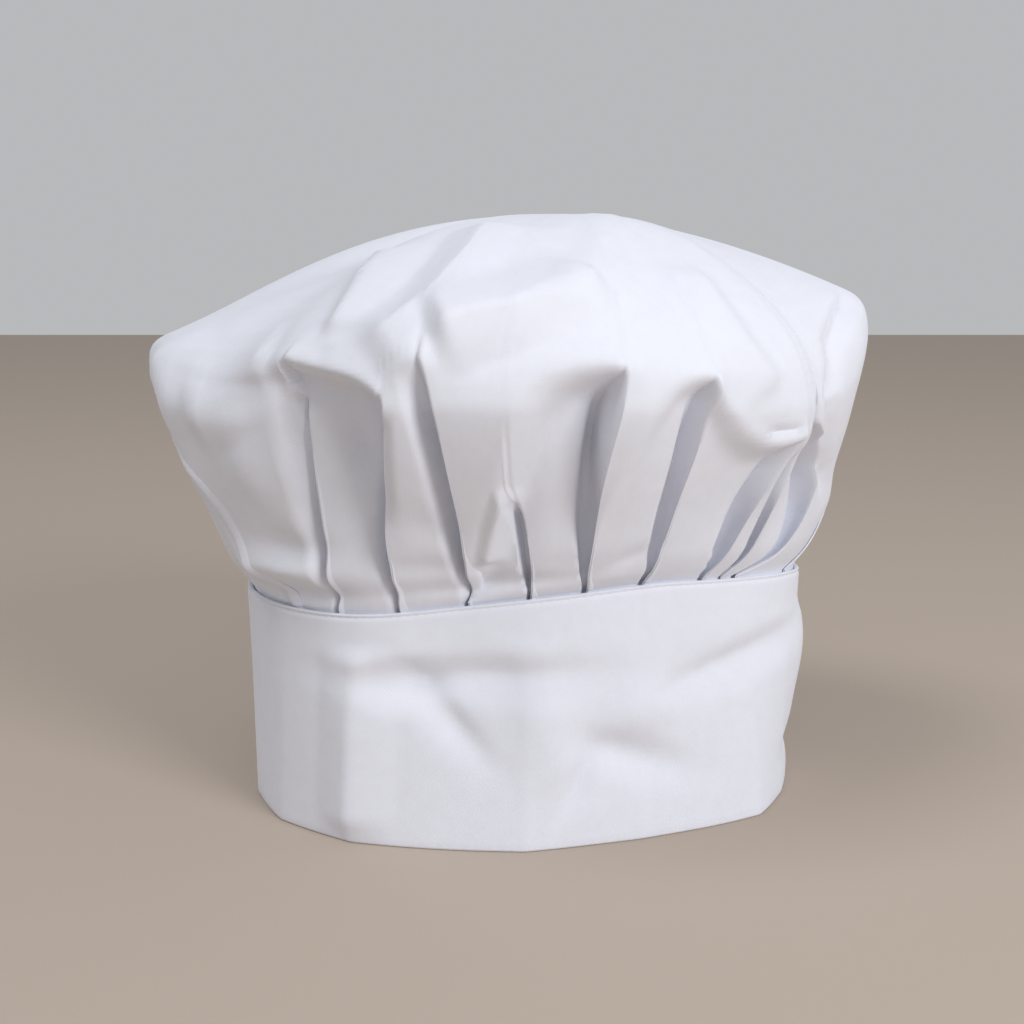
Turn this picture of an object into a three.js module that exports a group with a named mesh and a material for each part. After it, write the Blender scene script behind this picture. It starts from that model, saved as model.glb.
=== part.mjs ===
// A floppy chef hat standing on its band. Millimetres, +Z up, front towards -Y.
// Directions round the hat are degrees from the front, positive towards +X.
import * as THREE from 'three';

// ---- driving dimensions -------------------------------------------------------------------------

const BAND_WALL = 2.0; // folded double cloth with its interfacing
const CROWN_WALL = 2.0; // the crown's cloth, as a wall
const GAP = 0.3; // clearance between the crown's tucked edge and the band
const TUCK = 7; // depth of the crown's edge inside the band
const FOOT_CRISPNESS = 0.6; // 0 = round foot, 1 = straight between its corners

// Corners of the band's foot in plan, outside faces.
const FOOT = [
  { angle: -180, reach: 83 }, { angle: -140, reach: 90 }, { angle: -108, reach: 101 },
  { angle: -76, reach: 103.5 }, { angle: -59, reach: 102.6 }, { angle: -39.6, reach: 95.6 },
  { angle: -0.7, reach: 82.3 }, { angle: 28.5, reach: 80.9 }, { angle: 60, reach: 96.8 },
  { angle: 75, reach: 98.6 }, { angle: 90, reach: 101 }, { angle: 116, reach: 97 },
  { angle: 146, reach: 88 },
];

// The band's folded top, where the pleats go in. It leans in at the front and out at the back.
const SEAM = [
  { angle: -180, reach: 88, height: 80 }, { angle: -135, reach: 97, height: 79 },
  { angle: -100, reach: 104, height: 78.5 }, { angle: -78, reach: 104.7, height: 78.6 },
  { angle: -62, reach: 100.6, height: 78 }, { angle: -41, reach: 90.7, height: 79 },
  { angle: -18, reach: 74, height: 82 }, { angle: 8, reach: 69, height: 85 },
  { angle: 37, reach: 72, height: 87 }, { angle: 58, reach: 84, height: 86 },
  { angle: 75, reach: 97, height: 84 }, { angle: 92, reach: 104.3, height: 81 },
  { angle: 120, reach: 102, height: 80 }, { angle: 150, reach: 93, height: 80 },
];

// Soft dents and swells of the band's wall. depth is inwards; wide is degrees, tall is millimetres,
// and rise tilts the form: millimetres up for each degree round.
const BAND_FORMS = [
  { angle: -10, height: 58, depth: 5, wide: 26, tall: 6, rise: 0 },
  { angle: -30, height: 55, depth: 4, wide: 7, tall: 6, rise: 0 },
  { angle: -20, height: 44, depth: 3.2, wide: 9, tall: 7, rise: -1.2 },
  { angle: 5, height: 42, depth: -2.6, wide: 9, tall: 22, rise: -1.2 },
  { angle: 58, height: 56, depth: 5.2, wide: 20, tall: 6, rise: 0.3 },
  { angle: 28, height: 29, depth: 4.8, wide: 13, tall: 6.5, rise: -0.4 },
  { angle: 13, height: 22, depth: 2.8, wide: 5, tall: 7, rise: 1.4 },
  { angle: 32, height: 46, depth: -3, wide: 10, tall: 8, rise: 0.3 },
  { angle: 90, height: 52, depth: -3.4, wide: 16, tall: 20, rise: 0 },
  { angle: 86, height: 16, depth: 2.4, wide: 9, tall: 6, rise: 0 },
];
// The pressed edge that runs up the band from its left front corner.
const BAND_EDGE = { angle: -39.6, lift: 3.4, wide: 9 };

// Where the crown's wall turns over into its soft top. soft is the share of the wall that the turn
// takes: large where the cloth rolls over, small at the packing corners. full is how full the dome is
// above it, from 1, straight, up.
const RIM = [
  { angle: -180, reach: 116, height: 164, soft: 0.2, full: 2.7 },
  { angle: -140, reach: 127, height: 164, soft: 0.2, full: 2.5 },
  { angle: -108, reach: 138, height: 166, soft: 0.1, full: 2.3 },
  { angle: -90, reach: 138.5, height: 167, soft: 0.03, full: 1.45 },
  { angle: -75, reach: 134.5, height: 166, soft: 0.18, full: 1.45 },
  { angle: -58, reach: 126, height: 166, soft: 0.36, full: 2 },
  { angle: -41, reach: 122, height: 166, soft: 0.24, full: 2.6 },
  { angle: -16, reach: 121, height: 168, soft: 0.2, full: 2.6 },
  { angle: 12, reach: 120, height: 168, soft: 0.22, full: 2.6 },
  { angle: 28, reach: 117, height: 166, soft: 0.22, full: 2.6 },
  { angle: 48, reach: 116, height: 163, soft: 0.22, full: 2.8 },
  { angle: 68, reach: 120, height: 167, soft: 0.2, full: 2.3 },
  { angle: 85, reach: 125, height: 177, soft: 0.1, full: 1.8 },
  { angle: 98.6, reach: 129.8, height: 182, soft: 0.05, full: 1.7 },
  { angle: 115, reach: 138, height: 173, soft: 0.1, full: 1.6 },
  { angle: 140, reach: 129, height: 166, soft: 0.2, full: 2.8 },
];

// Section of the crown's wall from the seam (level 0) to the rim (level 1): shares of the way out
// and of the way up.
const WALL_SECTION = [
  { level: 0, out: 0, up: 0 }, { level: 0.15, out: 0.17, up: 0.11 }, { level: 0.35, out: 0.42, up: 0.32 },
  { level: 0.6, out: 0.74, up: 0.58 }, { level: 0.8, out: 0.94, up: 0.8 }, { level: 0.92, out: 1, up: 0.93 },
  { level: 1, out: 0.985, up: 1 },
];
const CROWN_TOP = { x: 12, y: 20, z: 213 };

// Soft dents and swells of the crown's wall, as the band's, with tall in levels.
const CROWN_FORMS = [
  { angle: -8, level: 0.125, depth: 4.4, wide: 30, tall: 0.055 },
  { angle: -53, level: 0.1, depth: 5.6, wide: 12, tall: 0.055 },
  { angle: -54, level: 0.2, depth: -3, wide: 9, tall: 0.05 },
  { angle: -51, level: 0.31, depth: 2.6, wide: 8, tall: 0.05 },
  { angle: -66, level: 0.36, depth: 2.4, wide: 5, tall: 0.14 },
  { angle: -55, level: 0.57, depth: -3.4, wide: 6, tall: 0.16 },
  { angle: -21, level: 0.225, depth: 2.2, wide: 8, tall: 0.05 },
  { angle: 26, level: 0.2, depth: 2.2, wide: 6, tall: 0.05 },
  { angle: 88, level: 0.3, depth: -2.6, wide: 11, tall: 0.1 },
];

// Knife pleats of the front. Each line runs from its foot at the seam, through its waist half way up,
// to its tip, at the level called rise. slit is how deep the cloth left of it rolls in under the fold
// and peak pushes the tip out, in millimetres.
const FRONT_PLEATS = [
  { foot: -57, waist: -69, tip: -79, rise: 1, slit: 1.5, peak: 0 },
  { foot: -45.5, waist: -42.2, tip: -42.8, rise: 0.955, slit: 9, peak: 4 },
  { foot: -32.3, waist: -27.7, tip: -23.2, rise: 0.83, slit: 9, peak: 1 },
  { foot: -17, waist: -13.7, tip: -17.2, rise: 0.98, slit: 9, peak: 4 },
  { foot: 0.3, waist: -0.2, tip: -4.5, rise: 0.54, slit: 7, peak: 0 },
  { foot: 17, waist: 12.8, tip: 13.5, rise: 0.955, slit: 9, peak: 4 },
  { foot: 34.5, waist: 31.2, tip: 29.3, rise: 0.925, slit: 8, peak: 4 },
  { foot: 51.5, waist: 52, tip: 53.5, rise: 0.68, slit: 9, peak: 3 },
  { foot: 56.5, waist: 58.5, tip: 56.5, rise: 0.62, slit: 6, peak: 0 },
  { foot: 61, waist: 72, tip: 60, rise: 0.74, slit: 8, peak: 0 },
  { foot: 77, waist: 95, tip: 97, rise: 0.85, slit: 3, peak: 0 },
];
// The rest go round the back, evenly, from the last line of the front to the first.
const BACK_PLEATS = { count: 13, rise: 0.9, slit: 5, peak: 1 };

// Cloth sunk between two pleats, numbered from the left: depth in millimetres at the right one, the
// share of it left at the left one (floor), the power of its slope between them, and the levels of
// its brow, evenly from the right pleat to the left. turn is how many levels the brow takes.
const FRONT_HOLLOWS = [
  { right: 1, left: 0, depth: 6, floor: 0.1, power: 0.8, turn: 0.12, brow: [0.955, 0.91, 0.84, 0.77, 0.7] },
  {
    right: 2, left: 1, depth: 24, floor: 0.5, power: 1.1, turn: 0.1,
    brow: [0.83, 0.885, 0.912, 0.935, 0.96],
  },
  { right: 3, left: 2, depth: 5, floor: 0, power: 2.6, turn: 0.2, brow: [0.97, 0.93, 0.86] },
  {
    right: 5, left: 3, depth: 17, floor: 0.45, power: 1.2, turn: 0.17,
    brow: [0.9, 0.9, 0.885, 0.83, 0.68, 0.5, 0.35, 0.22, 0.08],
  },
  {
    right: 6, left: 5, depth: 10, floor: 0.1, power: 1.2, turn: 0.1,
    brow: [0.9, 0.885, 0.845, 0.72, 0.49, 0.3],
  },
  {
    right: 7, left: 6, depth: 7, floor: 0.6, power: 1.4, turn: 0.09,
    brow: [0.67, 0.65, 0.65, 0.67, 0.71, 0.78, 0.89],
  },
  { right: 8, left: 7, depth: 4, floor: 0, power: 1.5, turn: 0.1, brow: [0.6, 0.63, 0.68] },
  { right: 9, left: 8, depth: 13, floor: 0, power: 1, turn: 0.1, brow: [0.73, 0.69, 0.62] },
  { right: 10, left: 9, depth: 3, floor: 0, power: 3, turn: 0.2, brow: [0.8, 0.78, 0.7] },
];
const BACK_HOLLOW = { depth: 8, floor: 0, power: 1.6, turn: 0.15, brow: [0.9, 0.87, 0.76] };

// Creases pressed into the crown, along places each with a direction and a level. height is out of
// the cloth; left and right are the widths of the two slopes.
const CREASES = [
  { path: [[-50, 1.42], [-36.5, 1.16], [-35, 1.05]], height: 3.2, left: 22, right: 8 },
  {
    path: [[-21, 1.57], [-17.5, 1.34], [-19, 1.17], [-23, 1.08], [-27.5, 1]],
    height: 4.6, left: 30, right: 14,
  },
  { path: [[13, 1.23], [6, 1.18], [-4, 1.11], [-16, 1.03]], height: 8, left: 14, right: 24 },
  { path: [[34.5, 1.69], [15.5, 1.42], [11, 1.3], [9, 1.2]], height: 3, left: 22, right: 26 },
  { path: [[38.5, 1.31], [37.5, 1.17], [39, 1.05], [44.5, 0.87]], height: 3, left: 9, right: 20 },
  { path: [[-46, 0.94], [-52, 0.88], [-58, 0.81], [-66, 0.73]], height: 5, left: 14, right: 30 },
  {
    path: [[-60, 0.12], [-66, 0.3], [-69.5, 0.5], [-70.5, 0.7], [-72.5, 0.85], [-81, 1]],
    height: 4, left: 14, right: 24,
  },
  {
    path: [[92, 1.06], [78.5, 1.08], [66.5, 1.02], [60.5, 0.84], [63, 0.73], [67, 0.58], [78.5, 0.33]],
    height: -3.2, left: 8, right: 5,
  },
  { path: [[-4.5, 0.54], [-7, 0.4], [-10.5, 0.22]], height: 3.4, left: 9, right: 5 },
];
const FOLD_WIDTH = 1.4; // degrees over which a fold edge rises
const PEAK_SPREAD = { angle: 5, level: 0.09 };
const LEVEL_PER_DEGREE = 45; // how many degrees round the wall are as long as one level

// Faces: where the mesh has its rows and columns.
const CROWN_LEVELS = [
  0.04, 0.12, 0.22, 0.32, 0.43, 0.54, 0.65, 0.75, 0.84, 0.92, 1, 1.08, 1.18, 1.32, 1.5, 1.72,
];
const PLEAT_COLUMNS = [0.3, 0.6, 0.85]; // between one fold edge and the next line
const BAND_LEVELS = [0, 0.06, 0.2, 0.34, 0.48, 0.6, 0.7, 0.79, 0.88, 1];
const BAND_COLUMN_STEP = 4.6; // degrees

// ---- curves through the tables ------------------------------------------------------------------

const TURN = 360;
const radians = THREE.MathUtils.degToRad;
const smoothstep = THREE.MathUtils.smoothstep;
const lerp = THREE.MathUtils.lerp;
const clamp = THREE.MathUtils.clamp;

function signedTurn(angle) {
  return ((((angle + TURN / 2) % TURN) + TURN) % TURN) - TURN / 2;
}

// Value at x of the smooth curve through rows[i][at], rows[i][key]; slope(i) is its slope at row i.
function hermite(x, x0, x1, y0, y1, slope0, slope1) {
  const width = x1 - x0;
  const t = (x - x0) / width;
  const t2 = t * t;
  const t3 = t2 * t;
  return (2 * t3 - 3 * t2 + 1) * y0 + (t3 - 2 * t2 + t) * width * slope0
    + (3 * t2 - 2 * t3) * y1 + (t3 - t2) * width * slope1;
}

// Smooth closed curve through a table of directions.
function around(rows, key, angle) {
  const count = rows.length;
  const at = (i) => rows[((i % count) + count) % count].angle + TURN * Math.floor(i / count);
  const value = (i) => rows[((i % count) + count) % count][key];
  const slope = (i) => (value(i + 1) - value(i - 1)) / (at(i + 1) - at(i - 1));
  const direction = signedTurn(angle);
  let row = count - 1;
  while (at(row) > direction) row -= 1;
  return hermite(direction, at(row), at(row + 1), value(row), value(row + 1), slope(row), slope(row + 1));
}

// Smooth open curve through a table of levels.
function along(rows, key, level) {
  const last = rows.length - 1;
  const value = clamp(level, rows[0].level, rows[last].level);
  const slope = (i) => {
    const before = rows[Math.max(i - 1, 0)];
    const after = rows[Math.min(i + 1, last)];
    return (after[key] - before[key]) / (after.level - before.level);
  };
  let row = last - 1;
  while (rows[row].level > value) row -= 1;
  return hermite(value, rows[row].level, rows[row + 1].level, rows[row][key], rows[row + 1][key],
    slope(row), slope(row + 1));
}

function polar(angle, reach, height) {
  return new THREE.Vector3(reach * Math.sin(radians(angle)), -reach * Math.cos(radians(angle)), height);
}

// ---- band ---------------------------------------------------------------------------------------

// Reach of the foot: between a round outline and straight edges from corner to corner.
function footReach(angle) {
  const direction = signedTurn(angle);
  const next = Math.max(FOOT.findIndex((corner) => corner.angle > direction), 0);
  const a = FOOT[(next + FOOT.length - 1) % FOOT.length];
  const b = FOOT[next];
  const span = radians(signedTurn(b.angle - a.angle));
  const into = radians(signedTurn(direction - a.angle));
  const chord = (a.reach * b.reach * Math.sin(span))
    / (a.reach * Math.sin(into) + b.reach * Math.sin(span - into));
  return lerp(around(FOOT, 'reach', angle), chord, FOOT_CRISPNESS);
}

function bandDent(angle, height) {
  let dent = 0;
  for (const form of BAND_FORMS) {
    const across = signedTurn(angle - form.angle);
    const over = height - form.height - form.rise * across;
    dent += form.depth * Math.exp(-((across / form.wide) ** 2) - (over / form.tall) ** 2);
  }
  const fromEdge = Math.abs(signedTurn(angle - BAND_EDGE.angle));
  return dent - BAND_EDGE.lift * Math.max(1 - fromEdge / BAND_EDGE.wide, 0);
}

// A point of the band's wall: level 0 at the foot, 1 at the folded top, inset inwards from its face.
function bandPoint(angle, level, inset) {
  const height = around(SEAM, 'height', angle) * level;
  const straight = lerp(footReach(angle), around(SEAM, 'reach', angle), level);
  const free = smoothstep(level, 0, 0.12) * (1 - smoothstep(level, 0.77, 0.88));
  return polar(angle, straight - bandDent(angle, height) * free - inset, height);
}

function bandAngles() {
  const angles = [];
  FOOT.forEach((corner, i) => {
    const next = i + 1 < FOOT.length ? FOOT[i + 1].angle : TURN + FOOT[0].angle;
    const span = next - corner.angle;
    const steps = Math.round(span / BAND_COLUMN_STEP);
    for (let step = 0; step < steps; step += 1) angles.push(corner.angle + (span * step) / steps);
  });
  return angles;
}

// ---- crown --------------------------------------------------------------------------------------

// The crown's form without pleats: its wall up to level 1, then the dome to its top at level 2.
function plainForm(angle, level) {
  const wall = Math.min(level, 1);
  const seamHeight = around(SEAM, 'height', angle);
  const out = along(WALL_SECTION, 'out', wall);
  const reach = lerp(around(SEAM, 'reach', angle), around(RIM, 'reach', angle), out);
  const height = lerp(seamHeight, around(RIM, 'height', angle), along(WALL_SECTION, 'up', wall));
  const inwards = clamp(level - 1, 0, 1);
  const point = polar(angle, reach, height);
  point.x = lerp(point.x, CROWN_TOP.x, inwards);
  point.y = lerp(point.y, CROWN_TOP.y, inwards);
  point.z = lerp(point.z, CROWN_TOP.z, 1 - (1 - inwards) ** around(RIM, 'full', angle));
  return point;
}

// The same form with its turn at the rim rolled over, by averaging along the section.
function softForm(angle, level) {
  const soft = around(RIM, 'soft', angle) * smoothstep(level, 0.5, 0.9) * (1 - smoothstep(level, 1.3, 1.7));
  const point = new THREE.Vector3();
  const taps = [-1, -0.5, 0, 0.5, 1];
  taps.forEach((tap) => point.add(plainForm(angle, level + tap * soft)));
  return point.multiplyScalar(1 / taps.length);
}

const firstFront = FRONT_PLEATS[0];
const lastFront = FRONT_PLEATS[FRONT_PLEATS.length - 1];
const backPleats = Array.from({ length: BACK_PLEATS.count }, (_, i) => {
  const share = (i + 1) / (BACK_PLEATS.count + 1);
  const between = (key) => lerp(lastFront[key], firstFront[key] + TURN, share);
  return { ...BACK_PLEATS, foot: between('foot'), waist: between('waist'), tip: between('tip') };
});
const PLEATS = [...FRONT_PLEATS, ...backPleats];
const backHollows = backPleats.map((_, i) => (
  { ...BACK_HOLLOW, right: FRONT_PLEATS.length + i, left: FRONT_PLEATS.length + i - 1 }));
const HOLLOWS = [...FRONT_HOLLOWS, ...backHollows];

// Direction of a pleat's line at a level.
function pleatLine(pleat, level) {
  const t = clamp(level / pleat.rise, 0, 1);
  return pleat.foot * (1 - t) * (1 - 2 * t) + 4 * pleat.waist * t * (1 - t) + pleat.tip * t * (2 * t - 1);
}

// Smooth curve through evenly spaced values.
function evenCurve(values, share) {
  const last = values.length - 1;
  const x = clamp(share, 0, 1) * last;
  const row = Math.min(Math.floor(x), last - 1);
  const slope = (i) => (values[Math.min(i + 1, last)] - values[Math.max(i - 1, 0)])
    / (Math.min(i + 1, last) - Math.max(i - 1, 0));
  return hermite(x, row, row + 1, values[row], values[row + 1], slope(row), slope(row + 1));
}

// How far the cloth is sunk between the pleats.
function hollowDepth(angle, level) {
  let sunk = 0;
  for (const hollow of HOLLOWS) {
    const right = pleatLine(PLEATS[hollow.right], level);
    const span = (((right - pleatLine(PLEATS[hollow.left], level)) % TURN) + TURN) % TURN;
    const far = signedTurn(right - angle) / span;
    if (far > -1e-6 && far <= 1) {
      const brow = evenCurve(hollow.brow, far);
      const climb = (evenCurve(hollow.brow, far + 0.02) - evenCurve(hollow.brow, far - 0.02)) / 0.04;
      const over = (level - brow) / (hollow.turn * Math.hypot(1, (climb * LEVEL_PER_DEGREE) / span));
      const slope = hollow.floor + (1 - hollow.floor) * (1 - clamp(far, 0, 1)) ** hollow.power;
      const deep = smoothstep(level / brow, 0, 0.9) * (1 - smoothstep(over, -0.5, 0.5));
      sunk = Math.max(sunk, hollow.depth * slope * deep);
    }
  }
  return sunk;
}

// How far the cloth is rolled in right at the lines.
function slitDepth(angle, level) {
  let deep = 0;
  for (const pleat of PLEATS) {
    if (Math.abs(signedTurn(angle - pleatLine(pleat, level))) < 1e-6) {
      const share = level / pleat.rise;
      deep = pleat.slit * (0.4 + 0.6 * smoothstep(share, 0, 0.3)) * (1 - smoothstep(share, 0.72, 1));
    }
  }
  return deep;
}

function crownDent(angle, level) {
  let dent = 0;
  for (const form of CROWN_FORMS) {
    const across = signedTurn(angle - form.angle) / form.wide;
    dent += form.depth * Math.exp(-(across ** 2) - ((level - form.level) / form.tall) ** 2);
  }
  return dent;
}

// How far the tips of the pleats stand out.
function peak(angle, level) {
  let out = 0;
  for (const pleat of PLEATS) {
    const across = signedTurn(angle - pleat.tip) / PEAK_SPREAD.angle;
    const over = (level - pleat.rise) / PEAK_SPREAD.level;
    out += pleat.peak * Math.exp(-Math.hypot(across, over));
  }
  return out;
}

function outwards(angle) {
  return polar(angle, 1, 0);
}

function formNormal(angle, level) {
  const up = softForm(angle, level + 0.02).sub(softForm(angle, level - 0.02));
  return softForm(angle + 1, level).sub(softForm(angle - 1, level)).cross(up).normalize();
}

// How far the pressed creases lift the cloth at a point of the plain form.
function creaseLift(point) {
  let total = 0;
  for (const crease of CREASES) {
    const places = crease.path.map(([angle, level]) => softForm(angle, level));
    let nearest = Infinity;
    let lift = 0;
    places.slice(1).forEach((end, i) => {
      const start = places[i];
      const step = start.distanceTo(end);
      const way = end.clone().sub(start).normalize();
      const offset = point.clone().sub(start);
      const near = offset.clone().addScaledVector(way, -clamp(offset.dot(way), 0, step));
      const side = formNormal(...crease.path[i]).cross(way).normalize();
      const distance = near.length();
      if (distance < nearest) {
        nearest = distance;
        lift = Math.max(1 - distance / (near.dot(side) > 0 ? crease.left : crease.right), 0);
      }
    });
    total += crease.height * lift;
  }
  return total;
}

// Outer and inner face of the crown's cloth at one direction and level.
function crownFaces(angle, level) {
  const form = softForm(angle, level);
  const normal = formNormal(angle, level);
  const sunk = hollowDepth(angle, level) + slitDepth(angle, level) + crownDent(angle, level);
  const outer = form.clone().addScaledVector(normal, creaseLift(form))
    .addScaledVector(outwards(angle), peak(angle, level) - sunk);
  return { outer, inner: outer.clone().addScaledVector(normal, -CROWN_WALL) };
}

// Columns follow the pleat lines: one in the depth of each line, one on its fold edge, the rest
// spread over the panel up to the next line.
function crownAngles(level) {
  const angles = [];
  PLEATS.forEach((pleat, i) => {
    const line = pleatLine(pleat, level);
    const next = pleatLine(PLEATS[(i + 1) % PLEATS.length], level);
    const span = (((next - line) % TURN) + TURN) % TURN;
    const fold = Math.min(FOLD_WIDTH, span * 0.35);
    angles.push(line, line + fold);
    PLEAT_COLUMNS.forEach((share) => angles.push(line + fold + (span - fold) * share));
  });
  return angles;
}

// Rings of the tucked edge, straight up inside the band and just past its folded top.
function tuckRings(inset) {
  const angles = crownAngles(0);
  const faceInset = BAND_WALL + GAP + inset;
  const low = angles.map((angle) => {
    const level = 1 - TUCK / around(SEAM, 'height', angle);
    return bandPoint(angle, level, faceInset + slitDepth(angle, 0));
  });
  const high = angles.map((angle) => {
    const point = bandPoint(angle, 1, faceInset + slitDepth(angle, 0));
    point.z += GAP;
    return point;
  });
  return [low, high];
}

// ---- closed meshes ------------------------------------------------------------------------------

// A closed skin through rings of points, all with the same number of columns. With tips it starts
// and ends in a point; without, the last ring joins the first.
function skin(rings, tips) {
  const columns = rings[0].length;
  const points = rings.flat();
  const index = [];
  const bands = tips ? rings.length - 1 : rings.length;
  for (let ring = 0; ring < bands; ring += 1) {
    const here = ring * columns;
    const above = ((ring + 1) % rings.length) * columns;
    for (let column = 0; column < columns; column += 1) {
      const next = (column + 1) % columns;
      index.push(here + column, here + next, above + next, here + column, above + next, above + column);
    }
  }
  if (tips) {
    const first = points.length;
    const lastRing = (rings.length - 1) * columns;
    points.push(tips.start, tips.end);
    for (let column = 0; column < columns; column += 1) {
      const next = (column + 1) % columns;
      index.push(first, next, column, lastRing + column, lastRing + next, first + 1);
    }
  }
  const geometry = new THREE.BufferGeometry().setFromPoints(points);
  geometry.setIndex(index);
  geometry.computeVertexNormals();
  return geometry;
}

function bandGeometry() {
  const angles = bandAngles();
  const outer = BAND_LEVELS.map((level) => angles.map((angle) => bandPoint(angle, level, 0)));
  const inner = BAND_LEVELS.map((level) => angles.map((angle) => bandPoint(angle, level, BAND_WALL)));
  return skin([...outer, ...inner.reverse()]);
}

function crownGeometry() {
  const rings = CROWN_LEVELS.map((level) => crownAngles(level).map((angle) => crownFaces(angle, level)));
  const outer = [...tuckRings(0), ...rings.map((ring) => ring.map((faces) => faces.outer))];
  const inner = [...tuckRings(CROWN_WALL), ...rings.map((ring) => ring.map((faces) => faces.inner))];
  const top = new THREE.Vector3(CROWN_TOP.x, CROWN_TOP.y, CROWN_TOP.z);
  const underTop = top.clone().setZ(CROWN_TOP.z - CROWN_WALL);
  return skin([...inner.reverse(), ...outer], { start: underTop, end: top });
}

// ---- the hat ------------------------------------------------------------------------------------

const crownCloth = new THREE.MeshStandardMaterial({ color: 0xf1f1f5, roughness: 0.85, metalness: 0 });
const bandCloth = new THREE.MeshStandardMaterial({ color: 0xeff0f4, roughness: 0.82, metalness: 0 });

function namedMesh(name, geometry, material) {
  const mesh = new THREE.Mesh(geometry, material);
  mesh.name = name;
  return mesh;
}

const hat = new THREE.Group();
hat.add(namedMesh('band', bandGeometry(), bandCloth), namedMesh('crown', crownGeometry(), crownCloth));

// The origin is under the middle of the whole hat, on the surface that it stands on.
const box = new THREE.Box3().setFromObject(hat);
const middle = box.getCenter(new THREE.Vector3());
hat.children.forEach((mesh) => mesh.geometry.translate(-middle.x, -middle.y, -box.min.z));

export default hat;
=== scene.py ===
"""A floppy white chef hat standing on its band: pleated crown, folded headband and topstitch."""
import logging
import math
from dataclasses import dataclass
from typing import NamedTuple, Sequence

import bpy
import numpy as np
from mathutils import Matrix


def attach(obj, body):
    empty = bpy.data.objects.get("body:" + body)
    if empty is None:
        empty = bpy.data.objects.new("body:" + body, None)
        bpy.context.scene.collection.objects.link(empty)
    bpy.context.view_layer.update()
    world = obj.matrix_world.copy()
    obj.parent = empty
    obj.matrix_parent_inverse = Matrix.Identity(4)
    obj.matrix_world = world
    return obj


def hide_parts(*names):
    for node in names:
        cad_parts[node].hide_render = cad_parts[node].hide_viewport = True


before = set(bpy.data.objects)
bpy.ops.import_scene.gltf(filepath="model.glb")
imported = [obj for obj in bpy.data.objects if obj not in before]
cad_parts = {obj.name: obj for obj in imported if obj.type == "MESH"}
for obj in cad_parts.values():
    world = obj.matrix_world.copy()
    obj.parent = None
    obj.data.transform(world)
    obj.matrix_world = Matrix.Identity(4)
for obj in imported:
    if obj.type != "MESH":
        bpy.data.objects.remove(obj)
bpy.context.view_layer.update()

LOG = logging.getLogger("chef_hat")
Array = np.ndarray

MM = 0.001
TURN = 360.0
HAIR = 1e-6  # slack for rounding, in shares and degrees


class Foot(NamedTuple):
    """A corner of the band's foot in plan: direction in degrees from the front, reach in mm."""

    angle: float
    reach: float


class Seam(NamedTuple):
    """A direction of the band's folded top: reach and height in mm."""

    angle: float
    reach: float
    height: float


class Rim(NamedTuple):
    """A direction of the crown's rim: reach and height in mm, the share that its turn takes, and
    how full the dome is above it, from 1, straight, up."""

    angle: float
    reach: float
    height: float
    soft: float
    full: float


class Section(NamedTuple):
    """A level of the crown's wall section: shares of the way out and of the way up."""

    level: float
    out: float
    up: float


class Pleat(NamedTuple):
    """A knife pleat: its line in degrees at foot, waist and tip, the level of its tip, how deep and
    how wide (mm) the cloth left of it rolls in under the fold, how far (mm) and how wide (degrees)
    the fold's own edge is turned in, and how far its tip stands out in mm."""

    foot: float
    waist: float
    tip: float
    rise: float
    slit: float
    width: float
    turned_in: float
    turn_width: float
    peak: float


class Hollow(NamedTuple):
    """Cloth sunk between two pleats, numbered from the left: its depth in mm at the right one, the
    share of it left at the left one, the power of its slope between them, the levels that its brow
    takes to turn in, the brow's lip in mm, and the brow's levels from the right pleat to the left."""

    right: int
    left: int
    depth: float
    floor: float
    power: float
    turn: float
    lip: float
    brow: tuple[float, ...]


class FoldStep(NamedTuple):
    """A column of the cloth in a fold's turn: shares of the way under the fold, of the way over its
    lip, and of the way from the cloth under it to the cloth beside it."""

    hidden: float
    opened: float
    deep: float


class Dent(NamedTuple):
    """A soft dent of the crown's wall: direction, level, depth in mm, half-widths in degrees and
    levels, and how far its level climbs per degree."""

    angle: float
    level: float
    depth: float
    wide: float
    tall: float
    climb: float


class Swell(NamedTuple):
    """A soft dent of the band, depth in mm inwards: wide in degrees, tall in mm, rise in mm/degree."""

    angle: float
    height: float
    depth: float
    wide: float
    tall: float
    rise: float


class Crease(NamedTuple):
    """A pressed crease of the crown along some places, each a direction and a level.
    Height in mm out of the cloth; left and right are the widths in mm of its two slopes."""

    path: tuple[tuple[float, float], ...]
    height: float
    left: float
    right: float


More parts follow.
